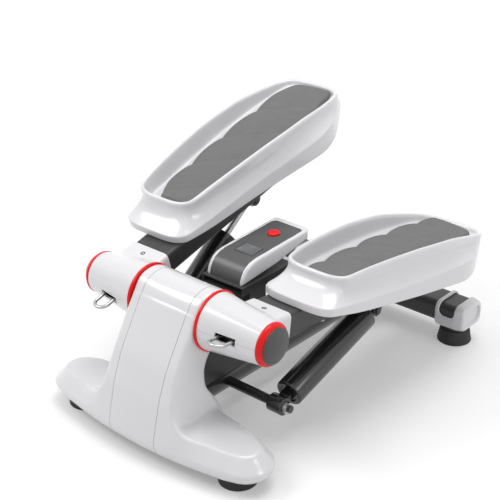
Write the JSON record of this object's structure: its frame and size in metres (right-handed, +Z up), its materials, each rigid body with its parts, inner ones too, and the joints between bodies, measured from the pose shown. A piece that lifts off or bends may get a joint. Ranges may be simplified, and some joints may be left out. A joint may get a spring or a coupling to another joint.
{
  "type": "mini stepper",
  "caption": "Mini stepper: two linked pedals swing on arms about a front axle, held by hydraulic dampers, with a column casing, a console and band eyes.",
  "frame": {"origin": "on the floor, under the middle of the machine's box", "axes": "+Z up, +Y from the front column to the rear crossbar, +X to the user's left"},
  "size_m": [0.3748, 0.5381, 0.3265],
  "materials": {
    "white_moulding": "glossy white moulding",
    "red_ring": "glossy red",
    "dark_cap": "satin dark grey",
    "black_steel": "satin black powder coat",
    "bright_steel": "zinc plated",
    "chrome_rod": "bright",
    "black_rubber": "matt",
    "grey_pad": "matt, fine texture",
    "nylon": "natural",
    "console_dark": "satin dark grey",
    "screen_glass": "clear over a grey display",
    "circuit_board": "green"
  },
  "bodies": {
    "base": {"left_casing": "white_moulding", "right_casing": "white_moulding", "centre_panel": "white_moulding", "front_crossmember": "black_steel", "front_post": "black_steel", "axle": "bright_steel", "axle_end_bolts": "bright_steel", "main_tube": "black_steel", "spine_box": "black_steel", "rear_crossbar": "black_steel", "left_rear_cap": "white_moulding", "right_rear_cap": "white_moulding", "tube_joint_cover": "white_moulding", "front_left_foot": "black_rubber", "front_right_foot": "black_rubber", "rear_left_foot": "black_rubber", "rear_right_foot": "black_rubber", "foot_bolts": "bright_steel", "damper_crossbar": "black_steel", "damper_nuts": "bright_steel", "rocker_bracket": "black_steel", "console_body": "white_moulding", "console_face": "console_dark", "console_screen": "screen_glass", "console_base": "dark_cap", "console_board": "circuit_board", "console_stand": "black_steel"},
    "right_arm": {"right_arm_frame": "black_steel", "right_hub_bushes": "nylon", "right_hub_upper_cover": "white_moulding", "right_hub_lower_cover": "white_moulding", "right_hub_screw": "bright_steel", "right_inner_ring": "red_ring", "right_outer_ring": "red_ring", "right_end_cap": "dark_cap", "right_d_ring": "bright_steel", "right_pedal_shell": "white_moulding", "right_pedal_pad": "grey_pad", "right_pedal_bolts": "bright_steel", "right_damper_bolt": "bright_steel"},
    "left_arm": {"left_arm_frame": "black_steel", "left_hub_bushes": "nylon", "left_hub_upper_cover": "white_moulding", "left_hub_lower_cover": "white_moulding", "left_hub_screw": "bright_steel", "left_inner_ring": "red_ring", "left_outer_ring": "red_ring", "left_end_cap": "dark_cap", "left_d_ring": "bright_steel", "left_pedal_shell": "white_moulding", "left_pedal_pad": "grey_pad", "left_pedal_bolts": "bright_steel", "left_damper_bolt": "bright_steel"},
    "right_barrel": {"right_damper_barrel": "black_steel"},
    "left_barrel": {"left_damper_barrel": "black_steel"},
    "right_rod": {"right_damper_rod": "chrome_rod"},
    "left_rod": {"left_damper_rod": "chrome_rod"},
    "rocker": {"rocker_beam": "black_steel", "rocker_pads": "nylon"},
    "button": {"console_button": "red_ring"}
  },
  "joints": [
    {"name": "right_arm_swing", "type": "hinge", "parent": "base", "child": "right_arm", "pos_m": [0, -0.171, 0.17], "axis": [1, 0, 0], "range_deg": [-21.5, 0]},
    {"name": "left_arm_swing", "type": "hinge", "parent": "base", "child": "left_arm", "pos_m": [0, -0.171, 0.17], "axis": [1, 0, 0], "range_deg": [0, 21.5]},
    {"name": "right_barrel_tilt", "type": "hinge", "parent": "base", "child": "right_barrel", "pos_m": [0, -0.116, 0.047], "axis": [1, 0, 0], "range_deg": [-20.79, 0]},
    {"name": "left_barrel_tilt", "type": "hinge", "parent": "base", "child": "left_barrel", "pos_m": [0, -0.116, 0.047], "axis": [1, 0, 0], "range_deg": [0, 20.79]},
    {"name": "right_rod_slide", "type": "slide", "parent": "right_barrel", "child": "right_rod", "axis": [0, 0.7913, 0.6114], "range_m": [-0.05029, 0]},
    {"name": "left_rod_slide", "type": "slide", "parent": "left_barrel", "child": "left_rod", "axis": [0, 0.9568, 0.2909], "range_m": [0, 0.05029]},
    {"name": "rocker_tilt", "type": "hinge", "parent": "base", "child": "rocker", "pos_m": [0, -0.109, 0.15191], "axis": [0, 1, 0], "range_deg": [-13.41, 0]},
    {"name": "button_press", "type": "slide", "parent": "base", "child": "button", "axis": [0, 0, -1], "range_m": [0, 0.0012], "stiffness_N_per_m": 400}
  ],
  "couplings": [
    {"joint": "left_arm_swing", "follows": "right_arm_swing", "ratio": -1},
    {"joint": "right_barrel_tilt", "follows": "right_arm_swing", "ratio": 0.96652},
    {"joint": "left_barrel_tilt", "follows": "right_arm_swing", "ratio": -0.96652},
    {"joint": "right_rod_slide", "follows": "right_arm_swing", "m_per_rad": 0.13374},
    {"joint": "left_rod_slide", "follows": "right_arm_swing", "m_per_rad": -0.13374},
    {"joint": "rocker_tilt", "follows": "right_arm_swing", "ratio": 0.62344}
  ]
}
